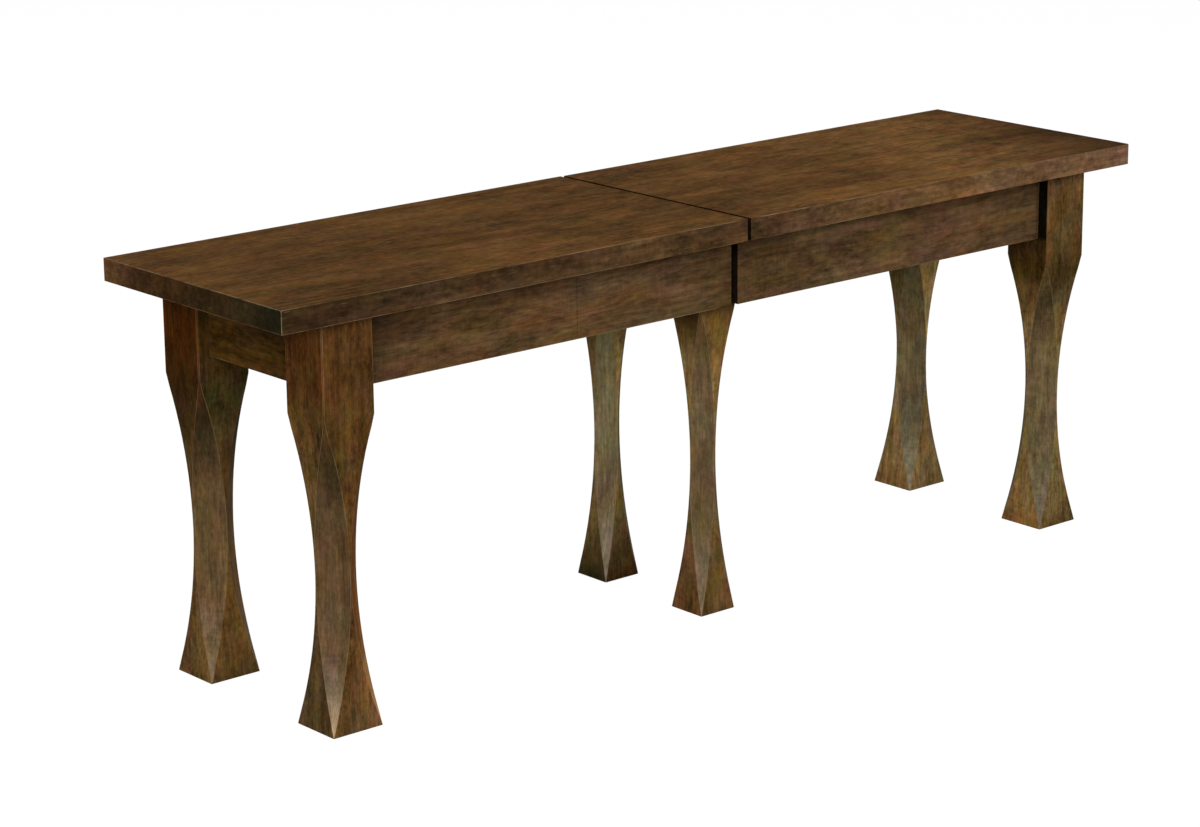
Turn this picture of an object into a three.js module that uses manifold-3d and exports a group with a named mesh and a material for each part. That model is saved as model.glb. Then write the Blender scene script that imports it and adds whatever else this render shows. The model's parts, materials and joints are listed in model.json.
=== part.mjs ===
import * as THREE from 'three';
import { mergeVertices } from 'three/addons/utils/BufferGeometryUtils.js';
import Module from 'manifold-3d';

const wasm = await Module();
wasm.setup();

// Extension bench in millimetres: X along the seat, -Y the front, Z up from the floor.
// Two equal halves slide apart over a pair of middle legs that stay where they stand.
// The right half is drawn once, and the left half is the same one turned half round.

// The bench with its halves closed
const length = 1228;
const depth = 313;
const height = 457.2;
const topThickness = 24.6;
const splitGap = 5;
const endOverhang = 58;
const sideOverhang = 16.5;
const travel = 305;

// Seams and cutters
const seam = 0.3;
const overrun = 5;

// Corner legs
const cornerPost = 63;
const cornerFoot = 62.4;
const cornerPostLength = 103;
const cornerFacetHollow = 26.2;
const cornerFaceHollow = 5.85;
const cornerFlat = 7;

// Middle legs
const middlePost = 54;
const middleFoot = 50;
const middlePostLength = 11;
const middleFacetHollow = 23.3;
const middleFaceHollow = 6.4;
const middleReach = 25;
const middleClear = 0.5;

// Carving that all legs share
const ridge = 0.8;
const footArris = 0.6;
const postArris = 1.4;
const carvedRings = 24;

// Aprons, with the groove that the clips hook into
const apronHeight = 77;
const apronThickness = 19;
const apronSetback = 14;
const apronEndGap = 9;
const apronEndShift = 6.5;
const grooveDrop = 11;
const grooveHeight = 3.5;
const grooveDepth = 6;

// Steel clips that hold the top down
const clipThickness = 2;
const clipWidth = 20;
const clipPlate = 12.5;
const clipPlaceShares = [0.2, 0.75];

// Corner blocks
const blockThickness = 18;
const blockHeight = 48;
const blockRise = 8;
const blockStandoff = 3;

// Hanger bolts and their flanged nuts
const boltRadius = 4;
const boltGrip = 34;
const boltEnd = 3;
const boltChamfer = 0.8;
const nutAcross = 13;
const nutHeight = 6.5;
const flangeRadius = 9;
const flangeHeight = 1.5;

// Bearer across the middle legs
const bearerThickness = 22;
const bearerWidth = 90;
const sinkRadius = 11;
const sinkDepth = 12;

// Slides: a fixed rail between two runners, dovetailed together
const railWidth = 22;
const railHeight = 37;
const railClear = 2;
const slideHold = 25;
const slideGap = 0.5;
const runnerLift = 2;
const runnerClear = 1.2;
const trackDepth = 7;
const trackMouth = 10;
const trackFloor = 14;

// Brace behind each split end
const braceThickness = 20;
const braceRise = 1;
const braceClear = 2;

// Rack and pinion that make the halves move alike
const toothModule = 2;
const pinionTeeth = 18;
const pressureAngle = THREE.MathUtils.degToRad(20);
const backlash = 0.3;
const dedendumShare = 1.25;
const flankSteps = 3;
const gearThickness = 10;
const rackThickness = 9;
const rackBack = 5.7;
const rackTail = 25;
const hubRadius = 9;
const spindleRadius = 5;
const spindleFit = 0.1;
const spindleSet = 15;
const headRadius = 8;
const headHeight = 4;

// Dowels that line the halves up
const dowelRadius = 5;
const dowelSet = 25;
const dowelReach = 18;
const dowelSpacing = 190;
const dowelChamfer = 1.5;
const boreSpare = 2;

// Round pieces
const roundSides = 32;
const smallSides = 20;

// Heights and places that follow from the sizes above
const underside = height - topThickness;
const pieceTop = underside - seam;
const apronBottom = pieceTop - apronHeight;
const halfSplit = splitGap / 2;
const legX = length / 2 - endOverhang - cornerPost / 2;
const legY = depth / 2 - sideOverhang - cornerPost / 2;
const apronOuterY = legY + cornerPost / 2 - apronSetback;
const apronInnerY = apronOuterY - apronThickness;
const apronOuterX = legX + cornerPost / 2 - apronSetback;
const apronInnerX = apronOuterX - apronThickness;
const middleY = apronInnerY - middleClear - middleReach;
const railTop = underside - railClear;
const railBottom = railTop - railHeight;
const trackZ = (railTop + railBottom) / 2;
const gearBottom = trackZ - gearThickness / 2;
const gearTop = trackZ + gearThickness / 2;
const bearerTop = railBottom - seam;
const bearerBottom = bearerTop - bearerThickness;
const middleTop = bearerBottom - seam;
const slideHalf = travel + slideHold;
const diagonal = Math.SQRT1_2;
const blockBottom = apronBottom + blockRise;
const blockMiddle = blockBottom + blockHeight / 2;
const flatReach = cornerPost * diagonal - cornerFlat;
const blockReach = flatReach + blockStandoff;
const sinkFloor = bearerTop - sinkDepth;
const nutTotal = flangeHeight + nutHeight;

// The pinion, and the slides that fill the room between its racks and the clips
const addendum = toothModule;
const dedendum = toothModule * dedendumShare;
const toothPitch = Math.PI * toothModule;
const pitchRadius = toothModule * pinionTeeth / 2;
const tipRadius = pitchRadius + addendum;
const rackBackY = pitchRadius + dedendum + rackBack;
const clipEdgeY = apronInnerY - clipThickness - clipPlate;
const slideRoom = clipEdgeY - runnerClear - rackBackY - seam;
const runnerWidth = (slideRoom - railWidth - 2 * slideGap) / 2;
const innerRunnerY = rackBackY + seam;
const railY = innerRunnerY + runnerWidth + slideGap + railWidth / 2;
const outerRunnerY = railY + railWidth / 2 + slideGap;

// Finishes
function finish(color, roughness, metalness) {
  return new THREE.MeshStandardMaterial({ color, roughness, metalness });
}
const seatWood = finish(0x52391f, 0.42, 0);
const legWood = finish(0x5a4427, 0.46, 0);
const apronWood = finish(0x47311c, 0.48, 0);
const plainWood = finish(0xc6a374, 0.6, 0);
const zincSteel = finish(0xa9adb2, 0.38, 1);
const gearSteel = finish(0x74787d, 0.45, 1);

// Adding and cutting solids
function toSolid(geometry) {
  const bare = geometry.clone();
  bare.deleteAttribute('normal');
  bare.deleteAttribute('uv');
  const merged = mergeVertices(bare);
  const vertProperties = new Float32Array(merged.attributes.position.array);
  const triVerts = new Uint32Array(merged.index.array);
  return new wasm.Manifold(new wasm.Mesh({ numProp: 3, vertProperties, triVerts }));
}

function toGeometry(solid) {
  const mesh = solid.getMesh();
  const geometry = new THREE.BufferGeometry();
  geometry.setAttribute('position', new THREE.BufferAttribute(mesh.vertProperties, 3));
  geometry.setIndex(new THREE.BufferAttribute(mesh.triVerts, 1));
  return geometry;
}

function cut(geometry, cutters) {
  let solid = toSolid(geometry);
  for (const cutter of cutters) {
    solid = solid.subtract(toSolid(cutter));
  }
  return toGeometry(solid);
}

// Shapes: a block by its two corners, a prism by its outline and a turned rod by its profile
function block(low, high) {
  const size = new THREE.Vector3().subVectors(high, low);
  const centre = new THREE.Vector3().addVectors(low, high).divideScalar(2);
  return new THREE.BoxGeometry(size.x, size.y, size.z).translate(centre.x, centre.y, centre.z);
}

function outline(points) {
  return new THREE.Shape(points.map(([x, y]) => new THREE.Vector2(x, y)));
}

function prism(shape, low, high) {
  const options = { depth: high - low, bevelEnabled: false, curveSegments: smallSides };
  return new THREE.ExtrudeGeometry(shape, options).translate(0, 0, low);
}

// A section drawn in Y and Z, drawn out along X
function prismAlongX(points, low, high) {
  const turn = new THREE.Matrix4().makeBasis(
    new THREE.Vector3(0, 1, 0),
    new THREE.Vector3(0, 0, 1),
    new THREE.Vector3(1, 0, 0),
  );
  return prism(outline(points), low, high).applyMatrix4(turn);
}

// Radii and heights from the bottom of a turned piece to its top
function turned(profile, sides) {
  const points = profile.map(([radius, level]) => new THREE.Vector2(radius, level));
  return new THREE.LatheGeometry(points, sides).rotateX(Math.PI / 2);
}

function rod(radius, low, high, chamfer, sides) {
  return turned([
    [0, low],
    [radius - chamfer, low],
    [radius, low + chamfer],
    [radius, high - chamfer],
    [radius - chamfer, high],
    [0, high],
  ], sides);
}

function bore(radius, low, high, sides) {
  return turned([[0, low], [radius, low], [radius, high], [0, high]], sides);
}

// How deep a round hollow is at one height between its two ends
function hollowAt(level, low, high, deepest) {
  const half = (high - low) / 2;
  const radius = (half * half + deepest * deepest) / (2 * deepest);
  const away = level - (low + high) / 2;
  return Math.sqrt(radius * radius - away * away) - (radius - deepest);
}

// One ring of a leg: a square whose corners are planed off where the facets run
function legRing(faceReach, facetReach, level, arris) {
  const flat = Math.SQRT2 * facetReach - faceReach;
  const halfFlat = Math.min(Math.max(flat, ridge / 2), faceReach - arris);
  const reach = Math.min(faceReach, Math.SQRT2 * facetReach - halfFlat);
  const corners = [[reach, halfFlat], [halfFlat, reach]];
  const quarters = [[1, 0, 0, 1], [0, -1, 1, 0], [-1, 0, 0, -1], [0, 1, -1, 0]];
  return quarters.flatMap(([a, b, c, d]) => (
    corners.map(([x, y]) => [a * x + b * y, c * x + d * y, level])
  ));
}

// A closed skin over rings that have equal numbers of corners
function skin(rings) {
  const count = rings[0].length;
  const index = [];
  for (let ring = 1; ring < rings.length; ring += 1) {
    for (let corner = 0; corner < count; corner += 1) {
      const next = (corner + 1) % count;
      const low = (ring - 1) * count;
      const high = ring * count;
      index.push(low + corner, low + next, high + next);
      index.push(low + corner, high + next, high + corner);
    }
  }
  const last = (rings.length - 1) * count;
  for (let corner = 2; corner < count; corner += 1) {
    index.push(0, corner, corner - 1);
    index.push(last, last + corner - 1, last + corner);
  }
  const geometry = new THREE.BufferGeometry();
  geometry.setAttribute('position', new THREE.Float32BufferAttribute(rings.flat(2), 3));
  geometry.setIndex(index);
  return geometry;
}

// A leg that flares to a square foot and a square post, with a hollow facet on each corner
function carvedLeg(foot, post, faceHollow, facetHollow, shoulder, top) {
  const rings = [];
  for (let step = 0; step <= carvedRings; step += 1) {
    const rise = step / carvedRings;
    const level = shoulder * rise;
    const square = (foot + (post - foot) * rise) / 2;
    const faceReach = square - hollowAt(level, 0, shoulder, faceHollow);
    const facetReach = Math.SQRT2 * square - hollowAt(level, 0, shoulder, facetHollow);
    const arris = footArris + (postArris - footArris) * rise;
    rings.push(legRing(faceReach, facetReach, level, arris));
  }
  rings.push(legRing(post / 2, Math.SQRT2 * post / 2, top, postArris));
  return skin(rings);
}

// Hanger bolts stand along Z with the wood's face at zero
function hangerBolt(reach) {
  return rod(boltRadius, -boltGrip, reach, boltChamfer, smallSides);
}

function boltBore(low, high) {
  return bore(boltRadius + seam, low, high, smallSides);
}

function flangedNut() {
  const corners = [];
  const cornerRadius = nutAcross / Math.sqrt(3);
  for (let corner = 0; corner < 6; corner += 1) {
    const angle = corner * Math.PI / 3;
    corners.push([cornerRadius * Math.cos(angle), cornerRadius * Math.sin(angle)]);
  }
  const overlap = flangeHeight / 2;
  const hexagon = prism(outline(corners), overlap, nutTotal);
  const flange = bore(flangeRadius, 0, flangeHeight, smallSides);
  const joined = toGeometry(toSolid(hexagon).add(toSolid(flange)));
  return cut(joined, [boltBore(-overrun, nutTotal + overrun)]);
}

// The top of the right half, bored for the dowels at its split end
function halfTop() {
  const board = block(
    new THREE.Vector3(halfSplit, -depth / 2, underside),
    new THREE.Vector3(length / 2, depth / 2, height),
  );
  const deep = dowelSet + boreSpare;
  const bores = [-1, 1].map((side) => bore(dowelRadius + seam, -overrun, deep, smallSides)
    .rotateY(Math.PI / 2)
    .translate(halfSplit, side * dowelSpacing / 2, height - topThickness / 2));
  return cut(board, bores);
}

function dowel() {
  return rod(dowelRadius, -dowelSet, splitGap + dowelReach, dowelChamfer, smallSides);
}

// A corner leg on its own axis, drilled from its planed inner corner
function cornerLeg(side) {
  const leg = carvedLeg(
    cornerFoot,
    cornerPost,
    cornerFaceHollow,
    cornerFacetHollow,
    pieceTop - cornerPostLength,
    pieceTop,
  );
  const half = cornerPost / 2;
  const flat = block(
    new THREE.Vector3(apronBottom - blockMiddle, -half, flatReach),
    new THREE.Vector3(pieceTop + overrun - blockMiddle, half, flatReach + half),
  );
  const hole = boltBore(flatReach - boltGrip - seam, flatReach + cornerFlat + overrun);
  return cut(leg, [alongCorner(flat, side), alongCorner(hole, side)]);
}

// Lays a piece that stands along Z down from a leg's axis to the middle of the half, its X up
function alongCorner(geometry, side) {
  return geometry
    .rotateY(-Math.PI / 2)
    .rotateZ(side * Math.PI / 4)
    .translate(0, 0, blockMiddle);
}

// An apron's section, with the groove in its inner face
function apronSection(outer, inner) {
  const into = outer > inner ? grooveDepth : -grooveDepth;
  const grooveTop = pieceTop - grooveDrop;
  return [
    [outer, apronBottom],
    [outer, pieceTop],
    [inner, pieceTop],
    [inner, grooveTop],
    [inner + into, grooveTop],
    [inner + into, grooveTop - grooveHeight],
    [inner, grooveTop - grooveHeight],
    [inner, apronBottom],
  ];
}

// A steel clip under the top, its tongue in the groove of an apron whose inner face is at zero
function clip() {
  const tongueTop = pieceTop - grooveDrop - (grooveHeight - clipThickness) / 2;
  const tongueEnd = grooveDepth - clipThickness / 2;
  return prismAlongX([
    [-clipThickness - clipPlate, pieceTop],
    [-clipThickness - clipPlate, pieceTop - clipThickness],
    [-2 * clipThickness, pieceTop - clipThickness],
    [-2 * clipThickness, tongueTop - clipThickness],
    [tongueEnd, tongueTop - clipThickness],
    [tongueEnd, tongueTop],
    [-clipThickness, tongueTop],
    [-clipThickness, pieceTop],
  ], -clipWidth / 2, clipWidth / 2);
}

// A block across the corner, facing the leg's planed flat and bored for the hanger bolt
function cornerBlock(side) {
  const faceX = apronInnerX - seam;
  const faceY = apronInnerY - seam;
  const outer = legX + legY - blockReach / diagonal;
  const inner = outer - blockThickness / diagonal;
  const shape = outline([
    [outer - faceY, side * faceY],
    [faceX, side * (outer - faceX)],
    [faceX, side * (inner - faceX)],
    [inner - faceY, side * faceY],
  ]);
  const solid = prism(shape, blockBottom, blockBottom + blockHeight);
  const hole = alongCorner(boltBore(0, 2 * cornerPost), side).translate(legX, side * legY, 0);
  return cut(solid, [hole]);
}

// Half the height of the dovetail groove at a distance in from the rail's face
function trackHalf(into) {
  return (trackMouth + (trackFloor - trackMouth) * into / trackDepth) / 2;
}

// The fixed rail's section, a dovetail groove in each side
function railSection() {
  const face = railWidth / 2;
  const half = (side) => [
    [side * face, trackZ - side * trackHalf(0)],
    [side * (face - trackDepth), trackZ - side * trackHalf(trackDepth)],
    [side * (face - trackDepth), trackZ + side * trackHalf(trackDepth)],
    [side * face, trackZ + side * trackHalf(0)],
  ];
  return [
    [-face, railBottom],
    [face, railBottom],
    ...half(1),
    [face, railTop],
    [-face, railTop],
    ...half(-1),
  ];
}

// A runner's section, its face at zero and its tongue on the side that is asked for
function runnerSection(side) {
  const low = bearerTop + runnerLift;
  const slack = slideGap * Math.hypot(trackDepth, (trackFloor - trackMouth) / 2) / trackDepth;
  const root = trackHalf(-slideGap) - slack;
  const tip = trackHalf(trackDepth - slideGap) - slack;
  return [
    [0, low],
    [-side * runnerWidth, low],
    [-side * runnerWidth, pieceTop],
    [0, pieceTop],
    [0, trackZ + root],
    [side * trackDepth, trackZ + tip],
    [side * trackDepth, trackZ - tip],
    [0, trackZ - root],
  ];
}

// The right half's rack, its teeth towards the pinion, ending in plain stops
function rackShape() {
  const reach = Math.sqrt(tipRadius ** 2 - (pitchRadius - addendum) ** 2);
  const before = Math.ceil(reach / toothPitch);
  const after = Math.ceil((travel + reach) / toothPitch);
  const tipY = -(pitchRadius - addendum);
  const rootY = -(pitchRadius + dedendum);
  const halfSpace = (toothPitch / 2 + backlash) / 2;
  const tipHalf = halfSpace + addendum * Math.tan(pressureAngle);
  const rootHalf = halfSpace - dedendum * Math.tan(pressureAngle);
  const points = [[-slideHalf, -rackBackY], [rackTail, -rackBackY], [rackTail, tipY]];
  for (let space = before; space >= -after; space -= 1) {
    const centre = space * toothPitch;
    points.push([centre + tipHalf, tipY], [centre + rootHalf, rootY]);
    points.push([centre - rootHalf, rootY], [centre - tipHalf, tipY]);
  }
  points.push([-slideHalf, tipY]);
  return outline(points);
}

// The pinion's outline, with involute flanks and one tooth pointing at each rack
function pinionShape() {
  const baseRadius = pitchRadius * Math.cos(pressureAngle);
  const rootRadius = pitchRadius - dedendum;
  const involute = (angle) => Math.tan(angle) - angle;
  const pitchHalf = Math.PI / (2 * pinionTeeth) - backlash / (2 * pitchRadius);
  const baseHalf = pitchHalf + involute(pressureAngle);
  const flank = [[rootRadius, baseHalf]];
  for (let step = 0; step <= flankSteps; step += 1) {
    const radius = baseRadius + (tipRadius - baseRadius) * step / flankSteps;
    flank.push([radius, baseHalf - involute(Math.acos(baseRadius / radius))]);
  }
  const points = [];
  for (let tooth = 0; tooth < pinionTeeth; tooth += 1) {
    const middle = Math.PI / 2 + tooth * 2 * Math.PI / pinionTeeth;
    const rising = flank.map(([radius, half]) => [radius, middle - half]);
    const falling = flank.map(([radius, half]) => [radius, middle + half]).reverse();
    for (const [radius, angle] of [...rising, ...falling]) {
      points.push([radius * Math.cos(angle), radius * Math.sin(angle)]);
    }
  }
  return outline(points);
}

function pinion() {
  const gear = prism(pinionShape(), gearBottom, gearTop);
  const hub = bore(hubRadius, bearerTop + seam, trackZ, roundSides);
  const joined = toGeometry(toSolid(gear).add(toSolid(hub)));
  const hole = bore(spindleRadius + spindleFit, bearerTop - overrun, gearTop + overrun, roundSides);
  return cut(joined, [hole]);
}

// A shouldered pin set in the bearer, its head over the pinion
function spindle() {
  const headBottom = gearTop + seam;
  return turned([
    [0, bearerTop - spindleSet],
    [spindleRadius, bearerTop - spindleSet],
    [spindleRadius, headBottom],
    [headRadius, headBottom],
    [headRadius, headBottom + headHeight],
    [0, headBottom + headHeight],
  ], roundSides);
}

function bearer() {
  const reachY = apronInnerY - middleClear;
  const board = block(
    new THREE.Vector3(-bearerWidth / 2, -reachY, bearerBottom),
    new THREE.Vector3(bearerWidth / 2, reachY, bearerTop),
  );
  const above = bearerTop + overrun;
  const cutters = [bore(spindleRadius + seam, bearerTop - spindleSet - seam, above, roundSides)];
  for (const side of [-1, 1]) {
    const place = side * middleY;
    cutters.push(boltBore(bearerBottom - overrun, bearerTop).translate(0, place, 0));
    cutters.push(bore(sinkRadius, sinkFloor, above, smallSides).translate(0, place, 0));
  }
  return cut(board, cutters);
}

// A middle leg on its own axis, its outer face planed so that the aprons pass it
function middleLeg(side) {
  const leg = carvedLeg(
    middleFoot,
    middlePost,
    middleFaceHollow,
    middleFacetHollow,
    middleTop - middlePostLength,
    middleTop,
  );
  const planed = block(
    new THREE.Vector3(-middlePost, middleReach, middleTop / 2),
    new THREE.Vector3(middlePost, middlePost, middleTop + overrun),
  );
  if (side < 0) {
    planed.rotateZ(Math.PI);
  }
  return cut(leg, [planed, boltBore(middleTop - boltGrip - seam, middleTop + overrun)]);
}

// Puts one named piece in a group
function add(group, name, geometry, material, x = 0, y = 0, z = 0) {
  const mesh = new THREE.Mesh(geometry, material);
  mesh.name = name;
  mesh.position.set(x, y, z);
  group.add(mesh);
  return mesh;
}

function buildCentre() {
  const group = new THREE.Group();
  add(group, 'bearer', bearer(), plainWood);
  add(group, 'pinion_spindle', spindle(), zincSteel);
  add(group, 'pinion', pinion(), gearSteel);
  for (const [place, side] of [['front', -1], ['back', 1]]) {
    const rail = prismAlongX(railSection(), -slideHalf, slideHalf);
    add(group, `middle_leg_${place}`, middleLeg(side), legWood, 0, side * middleY);
    add(group, `centre_rail_${place}`, rail, plainWood, 0, side * railY);
    const reach = sinkFloor + nutTotal + boltEnd - middleTop;
    add(group, `middle_bolt_${place}`, hangerBolt(reach), zincSteel, 0, side * middleY, middleTop);
    add(group, `middle_nut_${place}`, flangedNut(), zincSteel, 0, side * middleY, sinkFloor + seam);
  }
  return group;
}

function addCorner(group, hand, place, side) {
  const nutReach = blockReach + blockThickness + seam;
  const boltReach = nutReach + nutTotal + boltEnd - flatReach;
  const bolt = alongCorner(hangerBolt(boltReach).translate(0, 0, flatReach), side);
  const nut = alongCorner(flangedNut().translate(0, 0, nutReach), side);
  add(group, `${hand}_leg_${place}`, cornerLeg(side), legWood, legX, side * legY);
  add(group, `${hand}_corner_block_${place}`, cornerBlock(side), plainWood);
  add(group, `${hand}_hanger_bolt_${place}`, bolt, zincSteel, legX, side * legY);
  add(group, `${hand}_hanger_nut_${place}`, nut, zincSteel, legX, side * legY);
}

function addLongApron(group, hand, face, side) {
  const section = apronSection(side * apronOuterY, side * apronInnerY);
  const shift = hand === 'right' ? apronEndShift : -apronEndShift;
  const start = apronEndGap / 2 + shift;
  const end = legX - cornerPost / 2 - seam;
  add(group, `${hand}_apron_${face}`, prismAlongX(section, start, end), apronWood);
  clipPlaceShares.forEach((share, number) => {
    const name = `${hand}_clip_${face}_${number + 1}`;
    const place = start + (end - start) * share;
    const mesh = add(group, name, clip(), zincSteel, place, side * apronInnerY);
    mesh.rotation.z = side > 0 ? 0 : Math.PI;
  });
}

function addEndApron(group, hand) {
  const reach = legY - cornerPost / 2 - seam;
  const section = apronSection(apronOuterX, apronInnerX);
  const board = prismAlongX(section, -reach, reach).rotateZ(-Math.PI / 2);
  add(group, `${hand}_apron_end`, board, apronWood);
  const mesh = add(group, `${hand}_clip_end`, clip(), zincSteel, apronInnerX);
  mesh.rotation.z = -Math.PI / 2;
}

// A half's two runners, one outside the back rail and one inside the front rail
function addSlides(group, hand) {
  const runner = () => prismAlongX(runnerSection(-1), -slideHalf, slideHalf);
  const rack = prism(rackShape(), trackZ - rackThickness / 2, trackZ + rackThickness / 2);
  add(group, `${hand}_runner_outer`, runner(), plainWood, 0, outerRunnerY);
  add(group, `${hand}_runner_inner`, runner(), plainWood, 0, -innerRunnerY - runnerWidth);
  add(group, `${hand}_rack`, rack, gearSteel);
}

// The brace that joins the split ends of the aprons and stops against the bearer
function brace() {
  const start = bearerWidth / 2 + seam;
  const reach = apronInnerY - seam;
  return block(
    new THREE.Vector3(start, -reach, apronBottom + braceRise),
    new THREE.Vector3(start + braceThickness, reach, railBottom - braceClear),
  );
}

function buildHalf(hand) {
  const group = new THREE.Group();
  const turnedRound = hand === 'left';
  const placeOf = (side) => ((side < 0) === turnedRound ? 'back' : 'front');
  add(group, `${hand}_top`, halfTop(), seatWood);
  for (const side of [-1, 1]) {
    addCorner(group, hand, placeOf(side), side);
    addLongApron(group, hand, placeOf(side), side);
  }
  addEndApron(group, hand);
  addSlides(group, hand);
  add(group, `${hand}_brace`, brace(), plainWood);
  if (turnedRound) {
    group.rotation.z = Math.PI;
  }
  return group;
}

// The dowels stand in the right half and enter the left one
function addDowels(group) {
  for (const [place, side] of [['front', -1], ['back', 1]]) {
    const pin = dowel().rotateY(-Math.PI / 2);
    const pinY = side * dowelSpacing / 2;
    add(group, `right_dowel_${place}`, pin, plainWood, halfSplit, pinY, height - topThickness / 2);
  }
}

const bench = new THREE.Group();
const rightHalf = buildHalf('right');
addDowels(rightHalf);
bench.add(buildCentre(), rightHalf, buildHalf('left'));

export default bench;
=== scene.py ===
"""Finishes the extension bench: stained maple outside, plain maple slides, steel fittings."""

import json
from math import pi, radians

import bpy
from bpy.props import FloatProperty, FloatVectorProperty, PointerProperty
from mathutils import Matrix, Vector

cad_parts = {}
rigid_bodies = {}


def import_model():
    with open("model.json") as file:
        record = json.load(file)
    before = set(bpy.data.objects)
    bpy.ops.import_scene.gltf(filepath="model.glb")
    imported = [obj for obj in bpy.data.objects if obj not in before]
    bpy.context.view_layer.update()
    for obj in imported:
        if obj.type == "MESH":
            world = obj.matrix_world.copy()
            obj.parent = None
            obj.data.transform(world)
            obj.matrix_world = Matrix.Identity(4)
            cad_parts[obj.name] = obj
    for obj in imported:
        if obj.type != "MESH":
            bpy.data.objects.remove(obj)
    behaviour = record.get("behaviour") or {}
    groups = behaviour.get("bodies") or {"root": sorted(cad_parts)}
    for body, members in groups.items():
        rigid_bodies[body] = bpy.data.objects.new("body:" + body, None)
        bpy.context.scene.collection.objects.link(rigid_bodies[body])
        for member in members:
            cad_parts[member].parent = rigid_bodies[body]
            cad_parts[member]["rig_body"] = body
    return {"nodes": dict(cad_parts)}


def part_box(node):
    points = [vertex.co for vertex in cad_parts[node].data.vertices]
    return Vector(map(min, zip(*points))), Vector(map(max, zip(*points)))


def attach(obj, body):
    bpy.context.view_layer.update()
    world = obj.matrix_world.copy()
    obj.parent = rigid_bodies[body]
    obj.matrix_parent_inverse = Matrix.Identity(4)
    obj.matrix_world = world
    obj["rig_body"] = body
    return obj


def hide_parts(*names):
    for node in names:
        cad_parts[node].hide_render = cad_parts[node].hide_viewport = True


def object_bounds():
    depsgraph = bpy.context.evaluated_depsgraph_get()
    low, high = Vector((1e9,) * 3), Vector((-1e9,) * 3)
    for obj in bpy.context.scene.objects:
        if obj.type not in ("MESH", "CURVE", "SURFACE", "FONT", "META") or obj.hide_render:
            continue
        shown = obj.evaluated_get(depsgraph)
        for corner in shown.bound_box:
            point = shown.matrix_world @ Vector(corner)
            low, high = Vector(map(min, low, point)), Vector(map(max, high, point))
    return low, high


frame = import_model()
CAD_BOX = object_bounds()
NODES = frame["nodes"]

bl_info = {
    "name": "Extension bench",
    "version": (1, 0, 0),
    "blender": (4, 5, 0),
    "location": "View3D > Sidebar > Bench",
    "description": "Finishes a dining bench whose halves slide apart over a middle pair of legs",
    "category": "Object",
}

CORNER_SHOULDER = 0.3293
MIDDLE_SHOULDER = 0.360
APRON_BOTTOM = 0.3553
SEAT_HALF_DEPTH = 0.1565
HANDS = ("left", "right")
FACES = ("front", "back")
ALONG_Z = Vector((0, 0, 1))

RAIL_SCREW = 0.036
RAIL_Y = 0.0589
RUNNER_SCREWS = (0.09, 0.19, 0.29)
BLOCK_SCREW = 0.036
BLOCK_RISE = 0.013
CLIP_SCREW = 0.00525
CLIP_THICKNESS = 0.002
SCREW_TURN = 0.7
HEAD_SIDES = 24
ROD_SIDES = 16
RECESS_SHARE = 0.24
RECESS_DEPTH = 0.6
RECESS_TAPER = 0.5
FLAT_CROWN = 0.06
PAN_CROWN = 0.6

MERGE_DISTANCE = 1e-6
FLAT_ANGLE = radians(0.2)
EDGE_ANGLE = radians(30)
WEIGHT_OF_LARGE = 80
LEVEL_REACH = 0.0004
UP_OR_DOWN = 0.9
ARRIS = "arris"
ARRIS_TAG = 1


def length_property(name, description, default):
    return FloatProperty(name=name, description=description, default=default, min=0.0, unit="LENGTH")


def share_property(name, description, default):
    return FloatProperty(
        name=name, description=description, default=default, min=0.0, max=1.0, subtype="FACTOR"
    )


def colour_property(name, description, default):
    return FloatVectorProperty(
        name=name, description=description, default=default, size=3, min=0.0, max=1.0, subtype="COLOR"
    )


def number_property(name, description, default, unit):
    return FloatProperty(name=name, description=description, default=default, unit=unit)


class BenchArrises(bpy.types.PropertyGroup):
    """How far the edges of each kind of piece are eased."""

    seat: length_property("Seat", "Radius of the eased edges of the two tops", 0.0013)
    apron: length_property("Aprons", "Radius of the eased edges of the aprons", 0.0008)
    leg: length_property("Legs", "Radius of the eased edges of the carving", 0.0005)
    plain: length_property("Slides", "Radius of the eased edges of the unstained pieces", 0.0006)
    # Reach of the edges' worn stain and painted highlight, and of the painted shade beside the posts' edges
    reach: length_property("Rubbed reach", "How far beside an edge the stain is thinned", 0.0018)


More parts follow.
